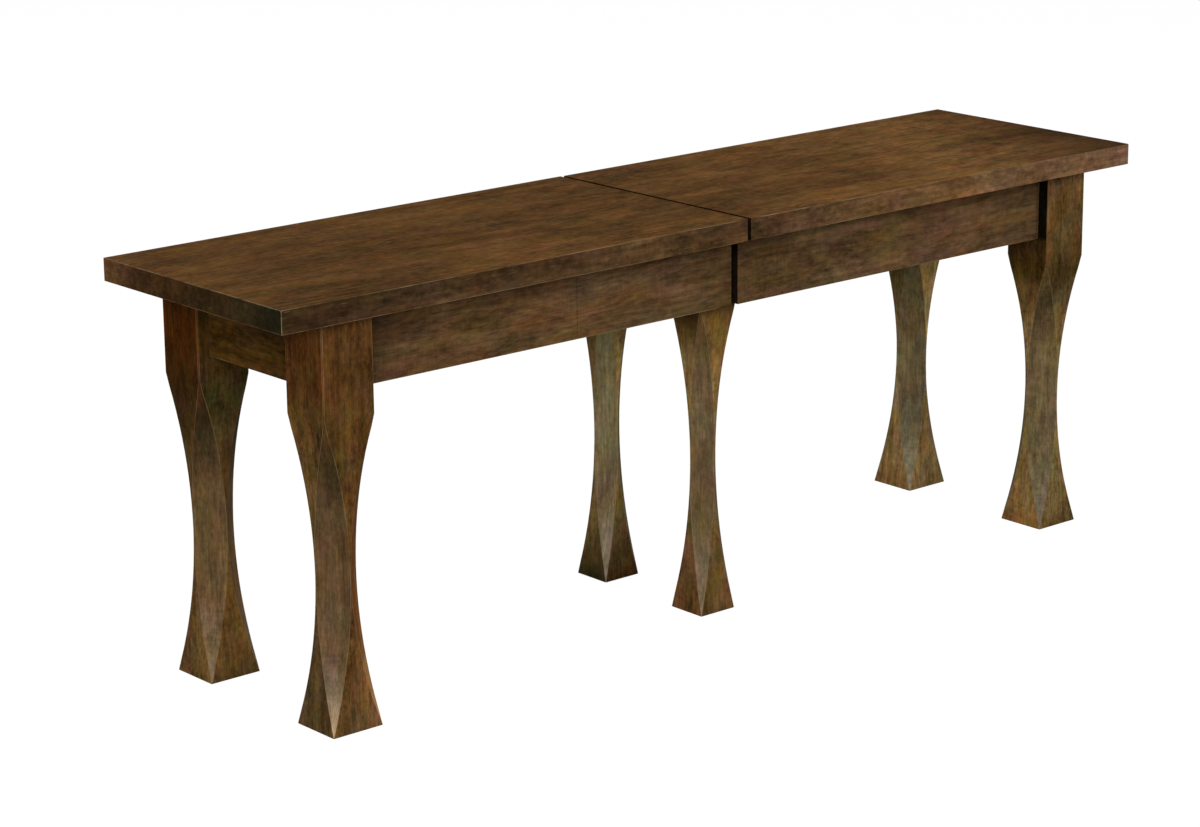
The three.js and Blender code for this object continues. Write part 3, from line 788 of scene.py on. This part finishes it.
def stained_leg(name, leg, shift, shoulder, to_middle):
    """Stained maple leg with upright fibres: its faces and its hollow facets change with height."""
    scene = bpy.context.scene
    stain, tones = scene.bench_stain, COMMON_TONES | LEG_TONES[leg]
    material, tree, shader = new_material(name)
    place = board_space(tree, GRAIN_TURNS["Z"], shift)
    grain = use_group(tree, "Maple grain", Vector=place, Curl=tones["curl"], **LEG_GRAIN)
    clouds = vector_maths(tree, "MULTIPLY", place, LEG_CLOUD)
    patches = use_group(tree, "Stain patches", Vector=clouds, Unevenness=tones["uneven"], **LEG_PATCHES)
    spot = parts_of(tree, add(tree, "TexCoord", "Object"))
    level = spot["Z"]
    sides = parts_of(tree, add(tree, "TexCoord", "Normal"))[:2]

    def upward(stops, run=FACE_RUN):
        """Colours or levels at the floor, the calf, the waist, below the shoulder and above it."""
        return graded(tree, level, [(share * shoulder, stop) for share, stop in zip(run, stops)])

    def olive(colour, share=tones["olive"]):
        return tuple(part * (1 + share * (hue - 1)) for part, hue in zip(colour, OLIVE_HUE))

    post = olive(stain.post, tones["post_olive"])
    foot, waist, upper = map(olive, (stain.foot_face, stain.waist_face, stain.upper_face))
    faces = upward((foot, foot, waist, upper, post))
    # Painted light and shade: faces turned left and faces turned to the front get their own levels per leg
    leftward, frontward = (mask(tree, "outward", times(tree, side, -1.0)) for side in sides)
    faces = tint(tree, faces, upward(tones["side"]), leftward)
    faces = tint(tree, faces, upward(tones["front"]), frontward)

    # The post's chamfers are lighter: worn stain and a painted highlight on its corners
    chamfer = tuple(part * CHAMFER_LEVEL for part in post)
    # Facets: stain with a painted sheen, brightest at the floor and fading upwards
    foot, waist, upper = map(olive, (stain.foot_facet_and_sheen, stain.waist_facet, stain.upper_facet))
    facets = upward((foot, waist, waist, upper, chamfer), FACET_RUN)
    facets = tint(tree, facets, upward(tones["facet"], FACET_RUN))
    # Painted light on the facets that face right, which the lamps leave dark
    if "right_facets_light" in tones:
        facets = tint(tree, facets, tones["right_facets_light"], mask(tree, "rightward", sides[0]))

    slant = maths(tree, "MINIMUM", *(maths(tree, "ABSOLUTE", side) for side in sides))
    slanted = mask(tree, "slanted", slant)
    evened = lowered(tree, slanted, 1.0 - FACET_EVENNESS)
    colour = tint(tree, mix(tree, slanted, faces, facets), patches["Hue"], evened)
    colour = shade(tree, colour, grain["Tone"], about(tree, patches["Tone"], 1.0, evened))
    rubbed_and_highlit = use_group(tree, "Rubbed arris", Vector=place, Reach=scene.bench_arrises.reach)
    above = spread(tree, level, shoulder - SHOULDER_FADE, shoulder + SHOULDER_FADE)
    # Painted shade beside the posts' edges, above the shoulder
    colour = shade(tree, colour, lowered(tree, times(tree, rubbed_and_highlit["Beside"], above), BESIDE_SHADE))
    # Worn stain and a painted highlight on the legs' eased edges
    colour = mix(tree, times(tree, rubbed_and_highlit["Eased"], LEG_RUBBED_AND_HIGHLIT_SHARE), colour, stain.rubbed_and_highlit)
    if "band" in tones:
        band = spread(tree, spot["X"], tones["band"], tones["band"] + BAND_FADE, 1.0, 0.0)
        colour = tint(tree, colour, BAND_HUE, times(tree, band, frontward, above))
    # Painted shade: the leg's faces turned to the middle are darkened where the aprons meet them
    if tones["recess_shade"]:
        turned = [times(tree, side, sign) for side, sign in zip(sides, to_middle)]
        inner = mask(tree, "facing", maths(tree, "MAXIMUM", *turned))
        by_apron = spread(tree, level, APRON_BOTTOM - RECESS_SHADE_FADE, APRON_BOTTOM + RECESS_SHADE_FADE)
        colour = tint(tree, colour, RECESS_SHADE_HUE, times(tree, inner, by_apron, tones["recess_shade"]))
    finish_wood(tree, shader, colour, grain, stain.leg_roughness, stain.leg_sheen, STAINED_BUMP)
    return material


def plain_maple(name, axis, shift):
    """Unstained maple with its fibres along one axis."""
    plain = bpy.context.scene.bench_plain
    material, tree, shader = new_material(name)
    place = board_space(tree, GRAIN_TURNS[axis], shift)
    grain = use_group(tree, "Maple grain", Vector=place, **PLAIN_GRAIN)
    patches = use_group(tree, "Stain patches", Vector=place, **PLAIN_PATCHES)
    late = mask(tree, "late wood", patches["Tone"])
    colour = tint(tree, mix(tree, late, plain.maple_light, plain.maple_dark), patches["Hue"])
    colour = shade(tree, colour, grain["Tone"], patches["Tone"])
    finish_wood(tree, shader, colour, grain, PLAIN_ROUGHNESS, PLAIN_SHEEN, PLAIN_BUMP)
    return material


def steel(name, colour, roughness, speckle):
    """Bare or plated steel with fine scratches and a cloudy sheen."""
    material, tree, shader = new_material(name)
    spot = add(tree, "TexCoord", "Object")
    scratches = noise(tree, spot, "steel scratches")
    join_inputs(
        tree, shader, Metallic=1.0,
        Base_Color=shade(tree, tuple(colour), about_one(tree, (noise(tree, spot, "steel clouds"), speckle))),
        Roughness=about(tree, scratches, 0.5, ROUGHER_BY_SCRATCH, roughness),
        Normal=add(tree, "Bump", Height=scratches, Strength=STEEL_BUMP, Distance=SCRATCH_DEPTH),
    )
    return material


# Looks of the woods and the steel

GRAIN_TURNS = {"X": (0, 0, 0), "Y": (0, 0, -pi / 2), "Z": (0, pi / 2, 0)}
# Where the grain of each kind of piece starts in the log, and its steps from one piece to the next
LOGS = {
    "top": ((0.0, 0.05, -0.30), (0.37, 0.4, 0.11)),
    "apron": ((0.2, 0.0, -0.5), (0.0, 0.31, 0.0), (0.6, 0.0, 0.23)),
    "leg": ((0.0, 0.0, 0.0), (0.53, 0.17, 0.0), (0.21, 0.0, 0.29)),
    "slide": ((0.0, 0.0, 0.31), (0.27, 0.13, 0.0)),
}

# Each noise: its grains in a metre along and across the fibres, its detail, its roughness and its distortion
NOISES = {
    "fine fibres": (22, 620, 3.0, 0.6, 0.0),
    "middle fibres": (7, 170, 3.0, 0.6, 0.3),
    "broad fibres": (2.6, 48, 3.0, 0.55, 0.5),
    "sway": (2.4, 7, 2.0, 0.5, 0.0),
    "ripple": (300, 45, 3.0, 0.6, 0.0),
    "curled parts": (8, 18, 1.0, 0.5, 0.0),
    "pores": (95, 1500, 1.0, 0.5, 0.0),
    "wide patches": (4.5, 15, 2.0, 0.5, 0.3),
    "middle patches": (17, 55, 3.0, 0.6, 0.0),
    "small patches": (70, 190, 3.0, 0.65, 0.0),
    "red patches": (14, 40, 4.0, 0.65, 0.0),
    "blue patches": (12, 36, 4.0, 0.65, 0.0),
    "rubbed parts": (11, 30, 4.0, 0.7, 0.0),
    "edge blotches": (34, 60, 4.0, 0.7, 0.0),
    "scratches": (9, 560, 2.0, 0.6, 0.0),
    "steel clouds": (90, 90, 4.0, 0.6, 0.0),
    "steel scratches": (2600, 240, 2.0, 0.5, 0.0),
}
# Each mask: the two values between which it changes, and its levels there if they aren't none and full
MASKS = {
    "facing": (0.75, 0.95),
    "outward": (0.6, 0.9),
    "rightward": (0.3, 0.6),
    "slanted": (0.30, 0.52),
    "curled": (0.45, 0.62, 0.4, 1.0),
    "pores": (0.62, 0.74),
    "worn": (0.38, 0.58, 0.15, 1.0),
    "beside an edge": (0.02, 0.14),
    "scratches": (0.67, 0.76),
    "seam": (0.0002, 0.0009, 0.6, 1.0),
    "late wood": (0.8, 1.2),
}
YEAR_RINGS = {"Scale": 52.0, "Distortion": 2.2, "Detail": 3.0, "Detail_Scale": 1.1, "Detail_Roughness": 0.65}
SWAY = 0.16
PORE_SHADE = 0.3
FIBRE_RISE = 0.6
FIBRE_WEIGHTS = (1.0, 0.9, 0.7)
PATCH_WEIGHTS = (1.3, 1.5, 1.5)
HUE_PATCHES = (("red patches", (3.1, 1.7, 2.3), 0.45), ("blue patches", (-2.3, 4.1, 1.1), 1.1))
GREEN_BY_RED = -0.5
ROUGHER_BY_DARK = 0.15
BUMP_DISTANCE = 0.00025
STAINED_BUMP = 0.25
EDGE_SAMPLES = 6
RUBBED_AND_HIGHLIT_SHARE = 0.85

PLAIN_GRAIN = {"Fibres": 0.35, "Figure": 0.12, "Curl": 0.4}
PLAIN_PATCHES = {"Size": 1.5, "Unevenness": 0.4}
PLAIN_ROUGHNESS = 0.6
PLAIN_SHEEN = 0.3
PLAIN_BUMP = 0.2

ROUGHER_BY_SCRATCH = 0.25
STEEL_BUMP = 0.15
SCRATCH_DEPTH = 0.00005

# Runs of levels along the tops and the aprons
# Along the tops these runs are partly stain and partly painted sheen, lighter and bluer towards the right end
TOP_ALONG = (
    (-0.62, 1.1), (-0.5, 0.93), (-0.35, 1.05), (0.0, 0.97), (0.25, 1.2), (0.42, (1.75, 1.83, 1.95)),
    (0.55, 0.75), (0.62, 0.4),
)
EDGE_ALONG = (
    (-0.62, 0.36), (-0.55, 0.46), (-0.42, 0.78), (-0.25, 0.58), (-0.1, 0.9), (-0.02, 0.8), (0.1, 1.0),
    (0.3, 1.3), (0.62, (1.8, 1.85, 2.4)),
)
NEAR_ALONG = (
    (-0.62, 0.75), (-0.5, 0.84), (-0.4, 1.15), (0.0, 1.25), (0.15, 1.35), (0.3, 1.15), (0.45, 0.85),
    (0.62, 0.8),
)
NEAR_BAND = 0.08
FAR_ALONG = ((-0.62, 1.0), (0.3, 1.05), (0.4, 0.85), (0.45, 0.95), (0.5, 1.5), (0.55, 1.8), (0.62, 1.9))
FAR_START, FAR_BAND = -0.03, 0.05
# How much of the edges' worn stain and painted highlight shows along the top
TOP_WEAR_AND_HIGHLIGHT = ((-0.62, 1.0), (0.1, 0.9), (0.25, 0.35), (0.62, 0.2))
SEAT_ENDS = {
    "left": (
        (-SEAT_HALF_DEPTH, (0.21, 0.36, 0.41)), (-0.06, (0.36, 0.38, 0.38)), (0.08, (0.56, 0.53, 0.48)),
        (SEAT_HALF_DEPTH, (1.5, 1.3, 1.5)),
    ),
    "right": ((-SEAT_HALF_DEPTH, 0.8), (SEAT_HALF_DEPTH, 0.8)),
}
# Painted shadow on the aprons: levels from their bottom edge up to the top's overhang
APRON_SHADOW_UPWARD = ((APRON_BOTTOM, 1.12), (0.380, 1.03), (0.410, 0.95), (0.4325, 0.86))
APRON_ALONG = (
    (-0.5, 0.45), (-0.43, (1.0, 0.95, 0.88)), (-0.3, (1.1, 1.06, 1.0)), (-0.06, 1.04), (0.0, 0.8),
    (0.07, 0.88), (0.15, (1.22, 1.3, 1.35)), (0.25, 1.25), (0.5, 0.95),
)
END_APRON_ACROSS = ((-0.105, (1.5, 1.2, 1.3)), (-0.06, 0.95), (0.0, 0.87), (0.05, 1.3), (0.105, 1.2))
APRON_ENDS = ((-SEAT_HALF_DEPTH, 0.7), (SEAT_HALF_DEPTH, 0.7))
BOARD_LOOKS = {
    "top": {
        "axis": "X", "shade_by_leg": 1.0,
        "cloud": 1.5, "uneven": 1.05, "hues": 1.1, "fibres": 0.85, "beside": 0.9, "scratches": 0.45,
    },
    "apron": {
        "axis": "X", "shade_by_leg": 0.6, "run": APRON_ALONG,
        "cloud": 1.0, "uneven": 1.15, "hues": 1.5, "fibres": 0.8, "beside": 0.5, "scratches": 0.3,
    },
    "end apron": {
        "axis": "Y", "run": END_APRON_ACROSS,
        "cloud": 1.0, "uneven": 1.8, "hues": 2.2, "fibres": 0.9, "beside": 0.5, "scratches": 0.2,
    },
}
BOARD_GRAIN = {"Figure": 0.14, "Curl": 0.6}
EDGE_BLOTCHES = 1.3
EDGE_HUE = (1.0, 1.12, 1.60)
END_HUE = (1.0, 1.12, 1.35)
END_APRON_HUE = (0.79, 0.66, 0.34)
SCRATCH_TURN = radians(3)
SEAM_X = -0.2175
SPLIT_REACH = 0.013
SPLIT_SHADE = 0.8
BY_LEG = 0.491
BY_LEG_FADE = 0.006

# Each leg's levels at the floor, the calf, the waist, below the shoulder and above it, for its left faces
# and its front faces, painted light and shade by the way they face, and for its facets, stain and painted
# sheen; and shares of olive, unevenness, cross figure and painted shade by the aprons, and painted light on
# the right facets
FACE_RUN = (0.0, 0.28, 0.72, 0.95, 1.10)
FACET_RUN = (0.0, 0.28, 0.62, 0.86, 1.06)
# How much lighter the chamfers are: worn stain and painted highlight
CHAMFER_LEVEL = 1.5
FACET_EVENNESS = 0.65
OLIVE_HUE = (0.97, 1.28, 1.40)
# Hue of the painted shade on the legs by the aprons, and the height over which it fades
RECESS_SHADE_HUE = (0.08, 0.13, 0.30)
RECESS_SHADE_FADE = 0.003
SHOULDER_FADE = 0.035
BESIDE_SHADE = 0.3
LEG_RUBBED_AND_HIGHLIT_SHARE = 0.5
LEG_GRAIN = {"Fibres": 1.05, "Figure": 0.14}
LEG_CLOUD = (1.6, 1.0, 1.0)
LEG_PATCHES = {"Size": 0.75, "Hues": 1.7}
BAND_FADE = 0.003
BAND_HUE = (1.35, 1.12, 1.25)
COMMON_TONES = {"uneven": 1.1, "curl": 0.5, "recess_shade": 0.0}
LEG_TONES = {
    ("left", "front"): {
        "side": ((0.82, 0.89, 1.0), (0.8, 0.83, 0.95), 1.05, 1.75, (1.1, 1.02, 0.92)),
        "front": (
            (0.9, 0.82, 0.96), (1.15, 1.0, 0.78), (0.8, 0.66, 0.44), (1.05, 0.98, 0.9), (0.97, 1.03, 1.15),
        ),
        "facet": ((1.75, 1.9, 1.85), (1.0, 0.94, 0.94), (0.79, 0.68, 0.71), (0.92, 0.9, 0.85), 1.0),
        "olive": 0.0, "post_olive": 0.0, "recess_shade": 0.6, "right_facets_light": (1.6, 1.15, 0.7),
    },
    ("left", "back"): {
        "side": ((1.42, 1.33, 1.15), 1.4, 0.8, (0.57, 0.52, 0.46), (0.8, 0.82, 0.58)),
        "front": (0.71, (1.25, 1.1, 0.78), (0.54, 0.48, 0.35), (0.75, 1.0, 1.15), (0.85, 1.4, 1.4)),
        "facet": (0.95, (1.25, 1.1, 1.0), (1.0, 0.95, 0.9), 0.55, 1.0),
        "olive": 0.05, "post_olive": -1.0,
    },
    ("middle", "front"): {
        "side": ((1.3, 1.05, 0.98), 0.8, (2.5, 2.9, 2.8), (0.8, 0.82, 0.65), 0.5),
        "front": ((0.8, 0.7, 0.68), 1.1, 1.9, 1.25, 0.1),
        "facet": (1.05, 0.9, (1.08, 1.1, 1.18), 1.75, 0.1),
        "olive": 0.1, "post_olive": 0.2, "uneven": 1.0,
    },
    ("middle", "back"): {
        "side": ((0.2, 0.25, 0.2), 1.5, 1.6, 0.1, 0.8), "front": ((0.4, 0.32, 0.28), 1.1, 2.9, 2.2, 1.0),
        "facet": ((0.92, 0.95, 1.05), (1.22, 1.25, 1.35), (1.63, 1.82, 1.85), (2.7, 3.1, 3.0), 0.3),
        "olive": 0.4, "post_olive": 0.4, "uneven": 1.0,
    },
    ("right", "front"): {
        "side": ((1.65, 1.37, 1.17), 1.35, 2.05, (0.9, 0.75, 0.6), 0.4),
        "front": ((0.83, 0.84, 0.72), (1.75, 1.95, 2.0), 1.1, 0.72, (1.4, 1.3, 1.55)),
        "facet": (0.82, 0.95, (0.97, 0.93, 0.85), (0.9, 0.84, 0.8), 1.05),
        "olive": 0.45, "post_olive": 1.2, "uneven": 1.3, "curl": 0.7, "recess_shade": 0.86, "band": 0.499,
    },
    ("right", "back"): {
        "side": ((1.62, 1.35, 1.38), 1.95, 1.05, 0.8, 1.0), "front": (1.52, 1.2, 3.2, 3.8, 1.2),
        "facet": (1.08, 0.97, (1.04, 0.99, 0.97), 2.2, 0.05),
        "olive": 0.6, "post_olive": 0.8, "curl": 0.6, "recess_shade": 0.85,
    },
}


class BENCH_OT_tops(bpy.types.Operator):
    """Ease and stain the two halves of the seat top"""

    bl_idname = "bench.tops"
    bl_label = "Seat tops"

    def execute(self, context):
        scene = context.scene
        for number, hand in enumerate(HANDS):
            node = f"{hand}_top"
            piece = copy_of(node, f"{node}_board")
            ease(piece, scene.bench_arrises.seat)
            shift = cut_from_log("top", number)
            material = stained_board(f"{hand} top", "top", shift, scene.bench_stain.seat, SEAT_ENDS[hand])
            settle(piece, node, material)
        return {"FINISHED"}


class BENCH_OT_aprons(bpy.types.Operator):
    """Ease and stain the aprons"""

    bl_idname = "bench.aprons"
    bl_label = "Aprons"

    def execute(self, context):
        scene = context.scene
        for number, hand in enumerate(HANDS):
            for turn, face in enumerate((*FACES, "end")):
                node = f"{hand}_apron_{face}"
                piece = copy_of(node, f"{node}_board")
                ease(piece, scene.bench_arrises.apron)
                shift = cut_from_log("apron", number, turn)
                kind, base = "apron", scene.bench_stain.apron
                if face == "end":
                    kind, base = "end apron", [part * share for part, share in zip(base, END_APRON_HUE)]
                seam = SEAM_X if node == "left_apron_front" else None
                material = stained_board(f"{hand} apron {face}", kind, shift, base, APRON_ENDS, seam)
                settle(piece, node, material)
        return {"FINISHED"}


class BENCH_OT_legs(bpy.types.Operator):
    """Ease and stain the carved legs"""

    bl_idname = "bench.legs"
    bl_label = "Carved legs"

    def execute(self, context):
        scene = context.scene
        for number, place in enumerate(("left", "middle", "right")):
            shoulder = MIDDLE_SHOULDER if place == "middle" else CORNER_SHOULDER
            for turn, face in enumerate(FACES):
                node = f"{place}_leg_{face}"
                piece = copy_of(node, f"{node}_carved")
                sharpen_level(piece, shoulder)
                ease(piece, scene.bench_arrises.leg, segments=2)
                shift = cut_from_log("leg", number, turn)
                to_middle = (1 - number, 1 - 2 * turn)
                material = stained_leg(f"{place} leg {face}", (place, face), shift, shoulder, to_middle)
                settle(piece, node, material)
        return {"FINISHED"}


class BENCH_OT_slides(bpy.types.Operator):
    """Ease the unstained pieces under the seat"""

    bl_idname = "bench.slides"
    bl_label = "Slides and blocks"

    def execute(self, context):
        scene = context.scene
        pieces = [("bearer", "Y"), ("centre_rail_front", "X"), ("centre_rail_back", "X")]
        for hand in HANDS:
            pieces += [(f"{hand}_runner_inner", "X"), (f"{hand}_runner_outer", "X"), (f"{hand}_brace", "Y")]
            pieces += [(f"{hand}_corner_block_{face}", "Z") for face in FACES]
        pieces += [(f"right_dowel_{face}", "X") for face in FACES]
        for number, (node, axis) in enumerate(pieces):
            piece = copy_of(node, f"{node}_plain")
            ease(piece, scene.bench_arrises.plain, segments=2)
            screw_bores(piece, screw_places(node))
            material = plain_maple(f"{node} maple", axis, cut_from_log("slide", number))
            settle(piece, node, material)
        return {"FINISHED"}


class BENCH_OT_steel(bpy.types.Operator):
    """Add the screws, thread the bolts and finish the steel fittings"""

    bl_idname = "bench.steel"
    bl_label = "Steel fittings"

    def execute(self, context):
        plain, sizes = context.scene.bench_plain, context.scene.bench_fixings
        zinc = steel("Bright zinc", plain.zinc, roughness=0.34, speckle=0.25)
        gear = steel("Oiled gear steel", plain.gear, roughness=0.42, speckle=0.5)
        flat = screw_head("Flat head", sizes.flat_head, sizes.flat_depth, FLAT_CROWN)
        flat.data.transform(Matrix.Translation((0, 0, -sizes.flat_depth - sizes.bore_clear)))
        pan = screw_head("Pan head", sizes.pan_head, sizes.pan_height, PAN_CROWN)
        for name in list(NODES):
            places = [clip_place(name)] if "clip" in name else screw_places(name)
            if places:
                screws = copies_of(pan if "clip" in name else flat, f"{name}_screws", places)
                settle(screws, name, zinc, stands_for=False)
            if "bolt" in name:
                length, place = rod_place(name)
                rod = threaded_rod(f"{name}_threaded", length)
                rod.data.transform(place)
                settle(rod, name, zinc)
        for master in (flat, pan):
            bpy.data.meshes.remove(master.data)
        for name, node in NODES.items():
            if any(word in name for word in ("nut", "clip", "spindle")):
                give_material(node, zinc)
            elif "pinion" in name or "rack" in name:
                give_material(node, gear)
        return {"FINISHED"}


def put_in_scene(name, data, turn, place):
    """A new camera or lamp, turned and then moved to its place."""
    thing = bpy.data.objects.new(name, data)
    bpy.context.scene.collection.objects.link(thing)
    thing.matrix_world = Matrix.Translation(place) @ turn.to_4x4()
    return thing


def set_camera(stage):
    """The camera, where the photograph's was."""
    data = bpy.data.cameras.new("Camera")
    data.lens = stage.lens
    data.sensor_fit = "HORIZONTAL"
    data.clip_end = stage.floor
    raised = Matrix.Rotation(pi / 2 + stage.pitch, 3, "X") @ Matrix.Rotation(-stage.roll, 3, "Z")
    turn = Matrix.Rotation(-stage.heading, 3, "Z") @ raised
    bpy.context.scene.camera = put_in_scene("Camera", data, turn, stage.place)


def add_lamp(name, place, target, power, width, height):
    """A large soft lamp aimed at a point."""
    data = bpy.data.lights.new(name, "AREA")
    data.shape = "RECTANGLE"
    data.size = width
    data.size_y = height
    data.energy = power
    put_in_scene(name, data, (target - place).to_track_quat("-Z", "Y").to_matrix(), place)


def seen_directly(tree):
    """One for rays from the camera and for mirrored or transmitted ones."""
    path = tree.nodes.new("ShaderNodeLightPath").outputs
    direct = maths(tree, "MAXIMUM", path["Is Camera Ray"], path["Is Glossy Ray"])
    return maths(tree, "MAXIMUM", direct, path["Is Transmission Ray"])


def white_floor():
    """White to the eye, grey to the light of the lamps, and clear from below."""
    material, tree, shader = new_material("White floor")
    join_inputs(tree, shader, Base_Color=(FLOOR_GREY,) * 3, Roughness=FLOOR_ROUGHNESS, Specular_IOR_Level=0.0)
    glow, clear = add(tree, "Emission", Strength=FLOOR_GLOW), add(tree, "BsdfTransparent")
    seen = times(tree, seen_directly(tree), FLOOR_GLOW_SHARE)
    surface = add_in_order(tree, "MixShader", seen, shader.outputs[0], glow)[0]
    below = add(tree, "NewGeometry", "Backfacing")
    surface = add_in_order(tree, "MixShader", below, surface, clear)[0]
    join(tree, surface, tree.nodes["Material Output"].inputs["Surface"])
    return material


FLOOR_GREY = 0.45
FLOOR_ROUGHNESS = 0.9
FLOOR_GLOW = 1.14
FLOOR_GLOW_SHARE = 0.85
# Each lamp: where it stands, its width and its height
LAMPS = {
    "fill": ((-3.0, -3.3, 1.9), 2.4, 1.8),
    "key": ((-0.3, -3.2, 2.2), 2.4, 2.0),
    "top": ((0.4, 0.6, 3.0), 2.6, 2.0),
    "side": ((3.5, -0.8, 1.5), 2.0, 2.0),
    "back": ((-1.5, 3.6, 1.8), 2.4, 2.0),
}


class BENCH_OT_stage(bpy.types.Operator):
    """Set the camera, the lamps, the floor and the light from all round"""

    bl_idname = "bench.stage"
    bl_label = "Stage"

    def execute(self, context):
        scene = context.scene
        stage = scene.bench_stage
        set_camera(stage)
        low, high = CAD_BOX
        middle = (low + high) / 2
        for name, (place, width, height) in LAMPS.items():
            add_lamp(f"{name.capitalize()} lamp", Vector(place), middle, getattr(stage, name), width, height)
        floor = primitive("plane", "Floor", size=stage.floor, location=(0, 0, low.z))
        give_material(floor, white_floor())

        scene.world = bpy.data.worlds.new("Studio")
        scene.world.use_nodes = True
        tree = scene.world.node_tree
        strength = maths(tree, "MULTIPLY_ADD", seen_directly(tree), 1.0 - stage.ambient, stage.ambient)
        join_inputs(tree, tree.nodes["Background"], Color=(1.0, 1.0, 1.0), Strength=strength)
        scene.view_settings.view_transform = "Standard"
        return {"FINISHED"}


class BENCH_PT_panel(bpy.types.Panel):
    """Lists the pieces of the bench in the sidebar"""

    bl_idname = "BENCH_PT_panel"
    bl_label = "Extension bench"
    bl_space_type = "VIEW_3D"
    bl_region_type = "UI"
    bl_category = "Bench"

    def draw(self, context):
        for operator in OPERATORS:
            self.layout.operator(operator.bl_idname)


GROUPS = (
    ("bench_arrises", BenchArrises),
    ("bench_stain", BenchStain),
    ("bench_plain", BenchPlain),
    ("bench_fixings", BenchFixings),
    ("bench_stage", BenchStage),
)
OPERATORS = (BENCH_OT_tops, BENCH_OT_aprons, BENCH_OT_legs, BENCH_OT_slides, BENCH_OT_steel, BENCH_OT_stage)


def register():
    for name, group in GROUPS:
        bpy.utils.register_class(group)
        setattr(bpy.types.Scene, name, PointerProperty(type=group))
    for operator in OPERATORS:
        bpy.utils.register_class(operator)
    bpy.utils.register_class(BENCH_PT_panel)


def unregister():
    bpy.utils.unregister_class(BENCH_PT_panel)
    for operator in reversed(OPERATORS):
        bpy.utils.unregister_class(operator)
    for name, group in reversed(GROUPS):
        delattr(bpy.types.Scene, name)
        bpy.utils.unregister_class(group)


def main():
    register()
    for operator in OPERATORS:
        getattr(bpy.ops.bench, operator.bl_idname.removeprefix("bench."))()


if __name__ == "__main__":
    main()
